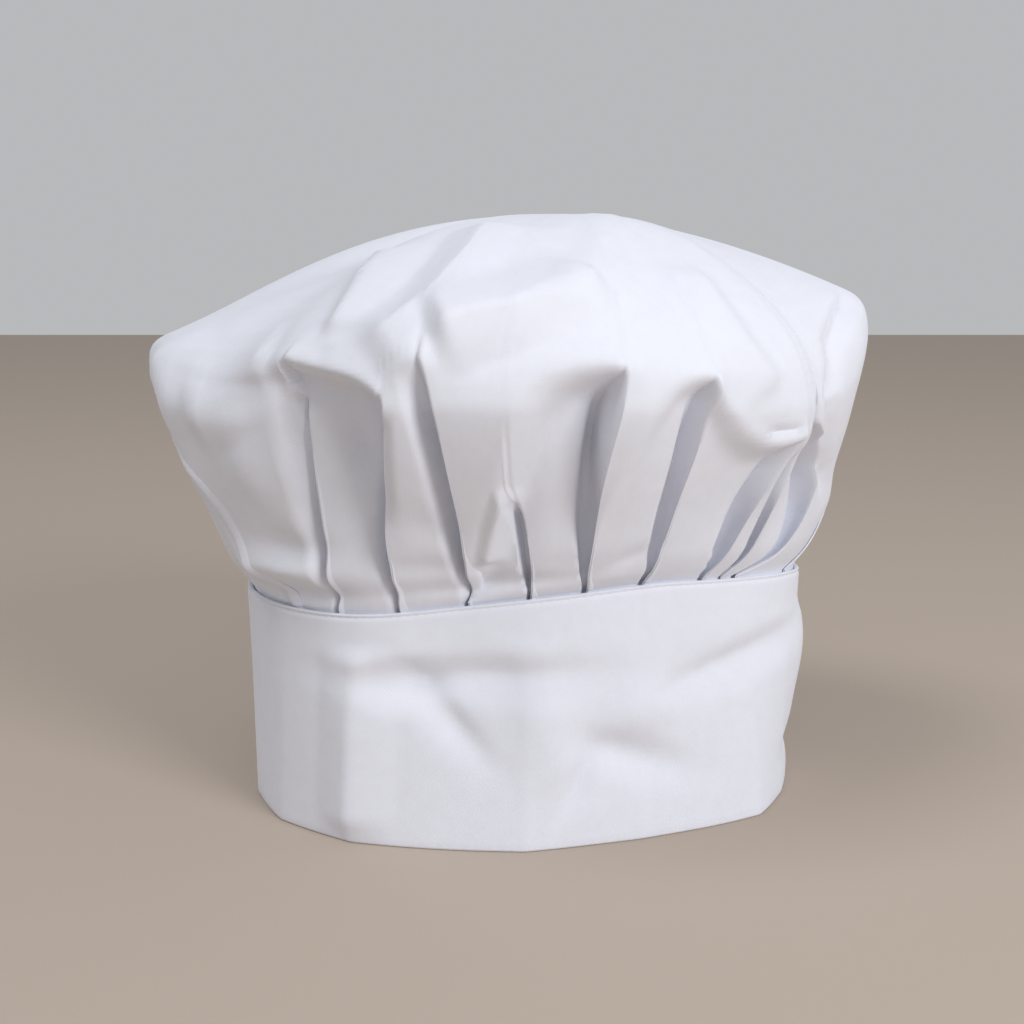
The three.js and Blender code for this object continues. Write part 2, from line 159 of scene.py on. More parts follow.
FOOT = (
    Foot(-180, 83), Foot(-140, 90), Foot(-108, 101), Foot(-76, 103.5), Foot(-59, 102.6),
    Foot(-39.6, 95.6), Foot(-0.7, 82.3), Foot(28.5, 80.9), Foot(60, 96.8), Foot(75, 98.6),
    Foot(90, 101), Foot(116, 97), Foot(146, 88),
)
SEAM = (
    Seam(-180, 88, 80), Seam(-135, 97, 79), Seam(-100, 104, 78.5), Seam(-78, 104.7, 78.6),
    Seam(-62, 100.6, 78), Seam(-41, 90.7, 79), Seam(-18, 74, 82), Seam(8, 69, 85),
    Seam(37, 72, 87), Seam(58, 84, 86), Seam(75, 97, 84), Seam(92, 104.3, 81),
    Seam(120, 102, 80), Seam(150, 93, 80),
)
RIM = (
    Rim(-180, 116, 164, 0.2, 2.7), Rim(-140, 127, 164, 0.2, 2.5), Rim(-108, 138, 166, 0.1, 2.3),
    Rim(-90, 138.5, 167, 0.03, 1.45), Rim(-75, 134.5, 166, 0.18, 1.45), Rim(-58, 126, 166, 0.36, 2.0),
    Rim(-41, 122, 166, 0.24, 2.6), Rim(-16, 121, 168, 0.2, 2.6), Rim(12, 120, 168, 0.22, 2.6),
    Rim(28, 117, 166, 0.22, 2.6), Rim(48, 116, 163, 0.22, 2.8), Rim(68, 120, 167, 0.2, 2.3),
    Rim(85, 125, 177, 0.1, 1.8), Rim(98.6, 129.8, 182, 0.05, 1.7), Rim(115, 138, 173, 0.1, 1.6),
    Rim(140, 129, 166, 0.2, 2.8),
)
WALL = (
    Section(0, 0, 0), Section(0.15, 0.17, 0.11), Section(0.35, 0.42, 0.32),
    Section(0.6, 0.74, 0.58), Section(0.8, 0.94, 0.8), Section(0.92, 1, 0.93),
    Section(1, 0.985, 1),
)
FRONT_PLEATS = (
    Pleat(-57, -69, -79, 1.0, 1.5, 4, 0, 1, 2),
    Pleat(-45.5, -42.2, -42.8, 0.955, 9, 8, 0, 1, 4),
    Pleat(-32.3, -27.7, -23.2, 0.83, 9, 9, 4, 3.4, 1),
    Pleat(-17, -13.7, -17.2, 0.98, 9, 8, 0, 1, 4),
    Pleat(0.3, -0.2, -4.5, 0.54, 7, 4, 0, 1, 0),
    Pleat(17, 12.8, 13.5, 0.955, 6.5, 6, 0, 1, 4),
    Pleat(34.5, 31.2, 29.3, 0.925, 6, 6, 0, 1, 4),
    Pleat(51.5, 52, 53.5, 0.68, 9, 6, 0, 1, 3),
    Pleat(56.5, 58.5, 56, 0.62, 6, 3, 0, 1, 0),
    Pleat(60, 72, 57, 0.74, 8, 5, 0, 1, 0),
    Pleat(77, 95, 97, 0.85, 3, 3, 0, 1, 0),
)
BACK_PLEAT_COUNT = 13
BACK_PLEAT = Pleat(0, 0, 0, 0.9, 5, 5, 0, 1, 1)
HOLLOWS = (
    Hollow(1, 0, 6, 0.1, 0.8, 0.1, 0, (0.955, 0.91, 0.84, 0.77, 0.7)),
    Hollow(2, 1, 24, 0.5, 1.1, 0.08, 1.8, (0.83, 0.885, 0.912, 0.935, 0.96)),
    Hollow(3, 2, 5, 0, 2.6, 0.2, 0, (0.97, 0.93, 0.86)),
    Hollow(5, 3, 17, 0.45, 1.2, 0.17, 0.8, (0.9, 0.9, 0.885, 0.83, 0.68, 0.5, 0.35, 0.22, 0.08)),
    Hollow(6, 5, 10, 0.1, 1.2, 0.1, 0.8, (0.9, 0.885, 0.845, 0.72, 0.49, 0.3)),
    Hollow(7, 6, 7, 0.6, 1.4, 0.09, 3.0, (0.67, 0.65, 0.65, 0.67, 0.71, 0.78, 0.89)),
    Hollow(8, 7, 4, 0, 1.5, 0.1, 0, (0.6, 0.63, 0.68)),
    Hollow(9, 8, 13, 0, 1.0, 0.1, 0, (0.73, 0.69, 0.62)),
    Hollow(10, 9, 3, 0, 3, 0.2, 0, (0.8, 0.78, 0.7)),
)
BACK_HOLLOW = Hollow(0, 0, 8.0, 0, 1.6, 0.15, 0, (0.9, 0.87, 0.76))
FOLD_TURN = (
    FoldStep(0, 0, 0), FoldStep(0.5, 0.12, 0), FoldStep(0.95, 0.26, 0.12), FoldStep(1, 0.4, 0.45),
    FoldStep(0.7, 0.55, 0.72), FoldStep(0.3, 0.7, 0.88), FoldStep(0.02, 0.86, 0.97), FoldStep(0, 1, 1),
)
DENTS = (
    Dent(-8, 0.125, 3.4, 30, 0.055, 0), Dent(-53, 0.1, 4.2, 12, 0.055, 0),
    Dent(-54, 0.2, -3.0, 9, 0.045, 0), Dent(-51, 0.31, 2.6, 8, 0.05, 0),
    Dent(-66, 0.36, 2.4, 5, 0.14, 0), Dent(-55, 0.57, -3.4, 6, 0.16, 0),
    Dent(-21, 0.225, 2.2, 8, 0.045, 0), Dent(-19, 0.38, 1.6, 4, 0.07, 0),
    Dent(9, 0.2, 1.2, 8, 0.045, 0), Dent(26, 0.2, 2.2, 6, 0.045, 0.004),
    Dent(-33, 0.69, 3.0, 2.6, 0.12, -0.01), Dent(24, 0.1, -1.0, 12, 0.045, 0),
    Dent(88, 0.3, -2.6, 11, 0.1, 0),
)
CREASES = (
    Crease(((-50, 1.42), (-36.5, 1.16), (-35, 1.05)), 3.2, 22, 5),
    Crease(((-21, 1.57), (-17.5, 1.34), (-19, 1.17), (-23, 1.08), (-27.5, 1.0)), 4.6, 30, 14),
    Crease(((13, 1.23), (6, 1.18), (-4, 1.11), (-16, 1.03)), 8.0, 14, 24),
    Crease(((34.5, 1.69), (15.5, 1.42), (11, 1.3), (9, 1.2)), 3.0, 22, 26),
    Crease(((38.5, 1.31), (37.5, 1.17), (39, 1.05), (44.5, 0.87)), 3.0, 9, 20),
    Crease(((-46, 0.94), (-52, 0.88), (-58, 0.81), (-66, 0.73)), 5.0, 14, 30),
    Crease(((-60, 0.12), (-66, 0.3), (-69.5, 0.5), (-70.5, 0.7), (-72.5, 0.85), (-81, 1.0)), 4.0, 14, 24),
    Crease(
        ((92, 1.06), (78.5, 1.08), (66.5, 1.02), (60.5, 0.84), (63, 0.73), (67, 0.58), (78.5, 0.33)),
        -3.2, 8, 3,
    ),
    Crease(((43.5, 0.73), (48, 0.72), (53.5, 0.72)), -2.0, 3, 3),
    Crease(((-4.5, 0.54), (-7, 0.4), (-10.5, 0.22)), 3.4, 9, 3),
)
SWELLS = (
    Swell(-10, 58, 5.0, 26, 6.0, 0), Swell(-30, 55, 4.0, 7, 6, 0), Swell(-20, 44, 3.2, 9, 7, -1.2),
    Swell(5, 42, -2.6, 9, 22, -1.2), Swell(58, 56, 5.2, 20, 6.0, 0.3), Swell(28, 29, 4.8, 13, 6.5, -0.4),
    Swell(13, 22, 2.8, 5, 7, 1.4), Swell(32, 46, -3.0, 10, 8, 0.3), Swell(90, 52, -3.4, 16, 20, 0),
    Swell(86, 16, 2.4, 9, 6, 0),
)


def smooth(low: float | Array, high: float | Array, value: Array) -> Array:
    """Smooth step of value from 0 at low to 1 at high."""
    share = np.clip((value - low) / (high - low), 0.0, 1.0)
    return share * share * (3.0 - 2.0 * share)


def turned(angle: Array) -> Array:
    """Angle brought into -180 to 180 degrees."""
    return (angle + TURN / 2) % TURN - TURN / 2


def hermite(at: Array, value: Array, slope: Array, x: Array, row: Array) -> Array:
    """Cubic curve through the rows of a table.

    Args:
        at: where each row lies.
        value: value of each row.
        slope: slope of the curve at each row.
        x: where the curve is wanted.
        row: the row before each x.

    Returns:
        The curve's value at each x.
    """
    width = at[row + 1] - at[row]
    t = (x - at[row]) / width
    before = (2 * t**3 - 3 * t**2 + 1) * value[row] + (t**3 - 2 * t**2 + t) * width * slope[row]
    after = (3 * t**2 - 2 * t**3) * value[row + 1] + (t**3 - t**2) * width * slope[row + 1]
    return before + after


def around(rows: Sequence[NamedTuple], key: str, angle: Array) -> Array:
    """Smooth closed curve through a table of directions.

    Args:
        rows: the table, with a column named angle.
        key: the column that is wanted.
        angle: directions in degrees.

    Returns:
        The column's value at each direction.
    """
    at = np.array([row.angle for row in rows], float)
    value = np.array([getattr(row, key) for row in rows], float)
    at = np.concatenate([at[-2:] - TURN, at, at[:2] + TURN])
    value = np.concatenate([value[-2:], value, value[:2]])
    slope = np.zeros_like(value)
    slope[1:-1] = (value[2:] - value[:-2]) / (at[2:] - at[:-2])
    x = turned(angle)
    row = np.clip(np.searchsorted(at, x, side="right") - 1, 1, len(at) - 3)
    return hermite(at, value, slope, x, row)


def along(rows: Sequence[NamedTuple], key: str, level: Array) -> Array:
    """Smooth open curve through a table of levels.

    Args:
        rows: the table, with a column named level.
        key: the column that is wanted.
        level: levels, held inside the table's own.

    Returns:
        The column's value at each level.
    """
    at = np.array([row.level for row in rows], float)
    value = np.array([getattr(row, key) for row in rows], float)
    slope = np.empty_like(value)
    slope[1:-1] = (value[2:] - value[:-2]) / (at[2:] - at[:-2])
    slope[0] = (value[1] - value[0]) / (at[1] - at[0])
    slope[-1] = (value[-1] - value[-2]) / (at[-1] - at[-2])
    x = np.clip(level, at[0], at[-1])
    row = np.clip(np.searchsorted(at, x, side="right") - 1, 0, len(at) - 2)
    return hermite(at, value, slope, x, row)


def even_curve(values: Sequence[float], share: Array) -> Array:
    """Smooth curve through evenly spaced values.

    Args:
        values: the values, from share 0 to share 1.
        share: shares of the way along, held inside 0 to 1.

    Returns:
        The curve's value at each share.
    """
    value = np.array(values, float)
    at = np.linspace(0, 1, len(value))
    slope = np.gradient(value, at)
    x = np.clip(share, 0, 1)
    row = np.clip((x * (len(value) - 1)).astype(int), 0, len(value) - 2)
    return hermite(at, value, slope, x, row)


def polar(angle: Array, reach: Array, height: Array) -> Array:
    """Points in mm at a direction, a reach from the hat's axis and a height."""
    turn = np.radians(angle)
    return np.stack([reach * np.sin(turn), -reach * np.cos(turn), height * np.ones_like(turn)], -1)


def unit(vectors: Array) -> Array:
    """Vectors made one long."""
    return vectors / (np.linalg.norm(vectors, axis=-1, keepdims=True) + 1e-12)


class Placing:
    """Brings points of the hat's own tables, in mm, to the part's frame, in metres."""

    def __init__(self, plan_shift: tuple[float, float]) -> None:
        """Keeps how far the part's origin lies from the tables' axis, in mm."""
        self.shift = np.array([plan_shift[0], plan_shift[1], 0.0])

    def metres(self, points: Array) -> Array:
        """Points in mm brought to the part's frame in metres."""
        return (points + self.shift) * MM


PLACING = Placing(plan_shift=(5.26, 1.17))


def grid_faces(rows: int, columns: int, closed_rows: bool) -> list[tuple[int, int, int, int]]:
    """Faces of a grid of points that runs round the hat.

    Args:
        rows: number of rings.
        columns: points in each ring.
        closed_rows: whether the last ring joins the first.

    Returns:
        The faces, four points each, facing out when the rings go up.
    """
    faces = []
    for row in range(rows if closed_rows else rows - 1):
        here, above = row * columns, ((row + 1) % rows) * columns
        for column in range(columns):
            next_column = (column + 1) % columns
            faces.append((here + column, here + next_column, above + next_column, above + column))
    return faces


def mesh_object(name: str, points: Array, faces: Sequence[Sequence[int]]) -> bpy.types.Object:
    """A new object at the origin with its place in its mesh.

    Args:
        name: the object's name.
        points: its points in metres.
        faces: its faces.

    Returns:
        The object, linked to the scene.
    """
    mesh = bpy.data.meshes.new(name)
    mesh.from_pydata([tuple(point) for point in points.reshape(-1, 3).tolist()], [], faces)
    mesh.update()
    piece = bpy.data.objects.new(name, mesh)
    bpy.context.scene.collection.objects.link(piece)
    return piece


def lay_uv(piece: bpy.types.Object, flat: Array) -> None:
    """Gives a piece a map of its cloth, in metres of cloth.

    Args:
        piece: the object to map.
        flat: for each point of its mesh, where it lies in the flat cloth.
    """
    layer = piece.data.uv_layers.new(name="cloth")
    loops = np.empty(len(piece.data.loops), int)
    piece.data.loops.foreach_get("vertex_index", loops)
    layer.data.foreach_set("uv", flat.reshape(-1, 2)[loops].ravel())


def apply_modifiers(piece: bpy.types.Object) -> None:
    """Applies every modifier of a piece, in order."""
    bpy.ops.object.select_all(action="DESELECT")
    bpy.context.view_layer.objects.active = piece
    piece.select_set(True)
    for modifier in list(piece.modifiers):
        bpy.ops.object.modifier_apply(modifier=modifier.name)
    piece.select_set(False)


def shade_smooth(piece: bpy.types.Object, sharp_degrees: float) -> None:
    """Shades a piece smooth, apart from edges sharper than the angle given."""
    bpy.ops.object.select_all(action="DESELECT")
    bpy.context.view_layer.objects.active = piece
    piece.select_set(True)
    bpy.ops.object.shade_smooth_by_angle(angle=math.radians(sharp_degrees))
    piece.select_set(False)


def noise(tree: bpy.types.NodeTree, place: bpy.types.NodeSocket, scale: float, detail: float = 2.0,
          roughness: float = 0.5) -> bpy.types.NodeSocket:
    """Even noise in a material.

    Args:
        tree: the material's nodes.
        place: the socket with the place.
        scale: how fine the noise is.
        detail: its octaves.
        roughness: how strong the finer ones are.

    Returns:
        The socket with the noise, 0 to 1.
    """
    made = tree.nodes.new("ShaderNodeTexNoise")
    made.inputs["Scale"].default_value = scale
    made.inputs["Detail"].default_value = detail
    made.inputs["Roughness"].default_value = roughness
    tree.links.new(place, made.inputs["Vector"])
    return made.outputs["Fac"]


def bump(tree: bpy.types.NodeTree, height: bpy.types.NodeSocket, distance: float, strength: float = 1.0,
         under: bpy.types.NodeSocket | None = None) -> bpy.types.NodeSocket:
    """A relief in a material.

    Args:
        tree: the material's nodes.
        height: the socket with the relief, 0 to 1.
        distance: its depth in metres.
        strength: the share of it that shows.
        under: the normal that it lies on, if any.

    Returns:
        The socket with the normal.
    """
    made = tree.nodes.new("ShaderNodeBump")
    made.inputs["Distance"].default_value = distance
    made.inputs["Strength"].default_value = strength
    tree.links.new(height, made.inputs["Height"])
    if under is not None:
        tree.links.new(under, made.inputs["Normal"])
    return made.outputs["Normal"]


@dataclass(frozen=True)
class ClothFinish:
    """White plain-woven poly-cotton, on a piece's own map of its cloth."""

    slot: str
    colour: tuple[float, float, float] = (0.815, 0.838, 0.918)
    roughness: float = 0.88
    sheen: float = 0.12
    sheen_roughness: float = 0.5
    specular: float = 0.3
    thread_pitch: float = 0.0005
    weave_depth: float = 0.00002
    weave_strength: float = 0.6
    slub_scale: float = 160.0
    slub_detail: float = 4.0
    slub_range: tuple[float, float] = (0.25, 0.75)
    slub_tint: tuple[float, float] = (0.965, 1.0)
    crumple_scale: float = 38.0
    crumple_detail: float = 3.0
    crumple_roughness: float = 0.45
    crumple_depth: float = 0.0006

    def material(self) -> bpy.types.Material:
        """The cloth's node material."""
        made = bpy.data.materials.new(self.slot)
        made.use_nodes = True
        tree = made.node_tree
        nodes, links = tree.nodes, tree.links
        shader = nodes["Principled BSDF"]
        shader.inputs["Roughness"].default_value = self.roughness
        shader.inputs["Specular IOR Level"].default_value = self.specular
        shader.inputs["Sheen Weight"].default_value = self.sheen
        shader.inputs["Sheen Roughness"].default_value = self.sheen_roughness
        cloth = nodes.new("ShaderNodeUVMap")
        cloth.uv_map = "cloth"
        place = nodes.new("ShaderNodeTexCoord").outputs["Object"]
        tint = nodes.new("ShaderNodeMapRange")
        tint.inputs["From Min"].default_value, tint.inputs["From Max"].default_value = self.slub_range
        tint.inputs["To Min"].default_value, tint.inputs["To Max"].default_value = self.slub_tint
        slub = noise(tree, cloth.outputs["UV"], self.slub_scale, self.slub_detail)
        links.new(slub, tint.inputs["Value"])
        colour = nodes.new("ShaderNodeMix")
        colour.data_type = "RGBA"
        colour.blend_type = "MULTIPLY"
        colour.inputs["Factor"].default_value = 1.0
        colour.inputs["A"].default_value = (*self.colour, 1.0)
        links.new(tint.outputs["Result"], colour.inputs["B"])
        links.new(colour.outputs["Result"], shader.inputs["Base Color"])
        crumple = noise(tree, place, self.crumple_scale, self.crumple_detail, self.crumple_roughness)
        crumpled = bump(tree, crumple, self.crumple_depth)
        weave = self._weave(tree, cloth.outputs["UV"])
        woven = bump(tree, weave, self.weave_depth, self.weave_strength, under=crumpled)
        links.new(woven, shader.inputs["Normal"])
        return made

    def _weave(self, tree: bpy.types.NodeTree, cloth: bpy.types.NodeSocket) -> bpy.types.NodeSocket:
        """Height of a plain weave.

        Args:
            tree: the material's nodes.
            cloth: the socket with the place in the flat cloth, in metres.

        Returns:
            The socket with the height, 0 to 1.
        """
        nodes, links = tree.nodes, tree.links
        scaled = nodes.new("ShaderNodeVectorMath")
        scaled.operation = "SCALE"
        scaled.inputs["Scale"].default_value = math.pi / self.thread_pitch
        links.new(cloth, scaled.inputs[0])
        parts = nodes.new("ShaderNodeSeparateXYZ")
        links.new(scaled.outputs["Vector"], parts.inputs["Vector"])
        waves = []
        for axis in ("X", "Y"):
            wave = nodes.new("ShaderNodeMath")
            wave.operation = "SINE"
            links.new(parts.outputs[axis], wave.inputs[0])
            waves.append(wave.outputs["Value"])
        crossed = nodes.new("ShaderNodeMath")
        crossed.operation = "MULTIPLY_ADD"
        links.new(waves[0], crossed.inputs[0])
        links.new(waves[1], crossed.inputs[1])
        crossed.inputs[2].default_value = 0.5
        return crossed.outputs["Value"]


@dataclass(frozen=True)
class ThreadFinish:
    """White sewing thread with a faint twist."""

    slot: str
    colour: tuple[float, float, float] = (0.9, 0.9, 0.915)
    roughness: float = 0.6
    specular: float = 0.35
    twist_scale: float = 4200.0
    twist_depth: float = 0.00005

    def material(self) -> bpy.types.Material:
        """The thread's node material."""
        made = bpy.data.materials.new("thread")
        made.use_nodes = True
        tree = made.node_tree
        shader = tree.nodes["Principled BSDF"]
        shader.inputs["Base Color"].default_value = (*self.colour, 1.0)
        shader.inputs["Roughness"].default_value = self.roughness
        shader.inputs["Specular IOR Level"].default_value = self.specular
        place = tree.nodes.new("ShaderNodeTexCoord").outputs["Object"]
        twist = noise(tree, place, self.twist_scale)
        tree.links.new(bump(tree, twist, self.twist_depth), shader.inputs["Normal"])
        return made


@dataclass
class Headband:
    """The folded double band that the hat stands on. Sizes in mm, directions in degrees, levels from
    0 at the foot to 1 at the folded top."""

    wall: float = 2.0
    crispness: float = 0.6
    dents_start: tuple[float, float] = (0.0, 0.12)
    dents_end: tuple[float, float] = (0.77, 0.88)
    columns: int = 288
    outer_rows: int = 56
    inner_rows: int = 20
    edge_rows: int = 5
    stitch_drop: float = 1.4
    stitch_dip: float = 0.55
    stitch_groove: float = 0.5
    top_crowding: float = 1.6
    fold_angle: float = -39.5
    fold_lift: float = 3.4
    fold_wide: float = 9.0
    lap_start: float = 171.0
    lap_end: float = 179.0
    lap_step: float = 0.9
    lap_edge: float = 0.6
    lap_fade: float = 4.8
    sharp: float = 50.0

    def foot_reach(self, angle: Array) -> Array:
        """Reach of the foot, between a round outline and straight edges between its corners."""
        corners = np.array([row.angle for row in FOOT], float)
        reaches = np.array([row.reach for row in FOOT], float)
        corners = np.append(corners, corners[0] + TURN)
        reaches = np.append(reaches, reaches[0])
        direction = turned(angle)
        row = np.clip(np.searchsorted(corners, direction, side="right") - 1, 0, len(FOOT) - 1)
        span = np.radians(corners[row + 1] - corners[row])
        into = np.radians(direction - corners[row])
        first, second = reaches[row], reaches[row + 1]
        chord = first * second * np.sin(span) / (first * np.sin(into) + second * np.sin(span - into))
        return around(FOOT, "reach", angle) * (1 - self.crispness) + chord * self.crispness

    def seam_reach(self, angle: Array) -> Array:
        """Reach of the band's folded top."""
        return around(SEAM, "reach", angle)

    def dent(self, angle: Array, height: Array) -> Array:
        """How far the wall is dented inwards."""
        total = np.zeros_like(height)
        for swell in SWELLS:
            across = turned(angle - swell.angle)
            over = height - swell.height - swell.rise * across
            total += swell.depth * np.exp(-((across / swell.wide) ** 2) - (over / swell.tall) ** 2)
        fold = np.clip(1 - np.abs(turned(angle - self.fold_angle)) / self.fold_wide, 0, 1)
        return total - self.fold_lift * fold

    def lap(self, angle: Array) -> Array:
        """How far the lapped end at the back stands out."""
        direction = np.where(angle < 0, angle + TURN, angle)
        inside = smooth(self.lap_start - self.lap_edge, self.lap_start, direction)
        return self.lap_step * inside * (1 - smooth(self.lap_end, self.lap_end + self.lap_fade, direction))

    def point(self, angle: Array, level: Array, inset: Array) -> Array:
        """A point of the wall, in mm.

        Args:
            angle: direction in degrees.
            level: 0 at the foot, 1 at the folded top.
            inset: how far inside the outer face, in mm.

        Returns:
            The points.
        """
        top = around(SEAM, "height", angle)
        height = top * level
        straight = self.foot_reach(angle) * (1 - level) + self.seam_reach(angle) * level
        free = smooth(*self.dents_start, level) * (1 - smooth(*self.dents_end, level))
        outer = 1 - np.clip(inset / self.wall, 0, 1)
        off_row = (top - height - self.stitch_drop) / self.stitch_groove
        stitched = self.stitch_dip * np.exp(-(off_row**2)) * outer
        reach = straight - self.dent(angle, height) * free - stitched + self.lap(angle) * outer - inset
        return polar(angle, reach, height)

    def section(self, top: Array) -> list[tuple[Array, float]]:
        """The band's section as a closed path up the outside and down the inside.

        Args:
            top: height of the folded top in each direction.

        Returns:
            Heights in each direction and the inset from the outer face, point by point.
        """
        half = self.wall / 2
        straight = top - 2 * half
        turns = np.linspace(0, math.pi, self.edge_rows + 2)[1:-1]
        closer = 1 - np.linspace(1, 0, self.outer_rows) ** self.top_crowding
        path = [(half + straight * share, 0.0) for share in closer]
        path += [(top - half + half * math.sin(t), half * (1 - math.cos(t))) for t in turns]
        path += [(half + straight * share, self.wall) for share in np.linspace(1, 0, self.inner_rows)]
        path += [(half - half * math.sin(t), half * (1 + math.cos(t))) for t in turns]
        return path

    def build(self) -> bpy.types.Object:
        """The band as one closed loop of doubled cloth with round folded edges."""
        angles = np.linspace(-180, 180, self.columns, endpoint=False)
        top = around(SEAM, "height", angles)
        path = self.section(top)
        rings = np.stack([
            self.point(angles, height / top, np.full_like(angles, inset)) for height, inset in path
        ])
        faces = grid_faces(len(path), self.columns, closed_rows=True)
        piece = mesh_object("headband", PLACING.metres(rings), faces)
        girth = np.radians(angles + TURN / 2) * self.seam_reach(angles).mean()
        flat = np.stack([np.broadcast_to(girth, rings.shape[:2]), rings[..., 2]], -1) * MM
        lay_uv(piece, flat)
        shade_smooth(piece, self.sharp)
        return piece

    def dress(self, piece: bpy.types.Object, finish: ClothFinish) -> None:
        """Gives the band its cloth, its body and its place in the frame.

        Args:
            piece: the band's object.
            finish: its cloth.
        """
        piece.data.materials.append(finish.material())
        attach(piece, "root")
        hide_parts("band")
        round_way = np.linspace(-180, 180, 90)
        girth = float(np.radians(TURN) * self.seam_reach(round_way).mean() * MM)
        height = float(around(SEAM, "height", round_way).mean() * MM)


@dataclass
class Topstitch:
    """A row of stitches round the band, just under its folded top. Sizes in mm."""

    band: Headband
    pitch: float = 3.0
    length: float = 2.3
    thick: float = 0.34
    sunk_share: float = 0.1
    segments: int = 6
    rings: int = 5
    samples: int = 1441
    sharp: float = 80.0

    def places(self) -> tuple[Array, Array]:
        """Middle and direction of each stitch, evenly spaced along the band, in mm."""
        angles = np.linspace(-180, 180, self.samples)
        top = around(SEAM, "height", angles)
        line = self.band.point(angles, 1 - self.band.stitch_drop / top, np.zeros_like(angles))
        steps = np.linalg.norm(np.diff(line, axis=0), axis=1)
        run = np.concatenate([[0.0], np.cumsum(steps)])
        count = int(run[-1] // self.pitch)
        at = (np.arange(count) + 0.5) * run[-1] / count
        middle = np.stack([np.interp(at, run, line[:, k]) for k in range(3)], -1)
        ahead = np.stack([np.interp(at + self.length / 2, run, line[:, k]) for k in range(3)], -1)
        return middle, unit(ahead - middle)

    def build(self) -> bpy.types.Object:
        """All stitches as one mesh: one stitch is shaped, then copied to each place."""
        bpy.ops.object.select_all(action="DESELECT")
        bpy.ops.mesh.primitive_uv_sphere_add(segments=self.segments, ring_count=self.rings, radius=0.5)
        first = bpy.context.active_object
        bpy.ops.object.mode_set(mode="EDIT")
        bpy.ops.mesh.select_all(action="SELECT")
        bpy.ops.transform.resize(value=(self.thick, self.thick, self.length))
        bpy.ops.object.mode_set(mode="OBJECT")
        shape = np.array([vertex.co for vertex in first.data.vertices])
        polygons = [tuple(polygon.vertices) for polygon in first.data.polygons]
        bpy.data.objects.remove(first, do_unlink=True)
        middle, way = self.places()
        up = np.array([0.0, 0.0, 1.0])
        outward = unit(np.cross(way, up))
        across = np.cross(outward, way)
        sunk = middle - outward * self.thick * self.sunk_share
        points = (sunk[:, None, :] + shape[None, :, 0, None] * outward[:, None, :]
                  + shape[None, :, 1, None] * across[:, None, :] - shape[None, :, 2, None] * way[:, None, :])
        faces = [tuple(index + copy * len(shape) for index in polygon)
                 for copy in range(len(middle)) for polygon in polygons]
        piece = mesh_object("topstitch", PLACING.metres(points), faces)
        shade_smooth(piece, self.sharp)
        return piece

    def dress(self, piece: bpy.types.Object, finish: ThreadFinish) -> None:
        """Gives the stitches their thread and their body.

        Args:
            piece: the stitches' object.
            finish: their thread.
        """
        piece.data.materials.append(finish.material())
        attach(piece, "root")


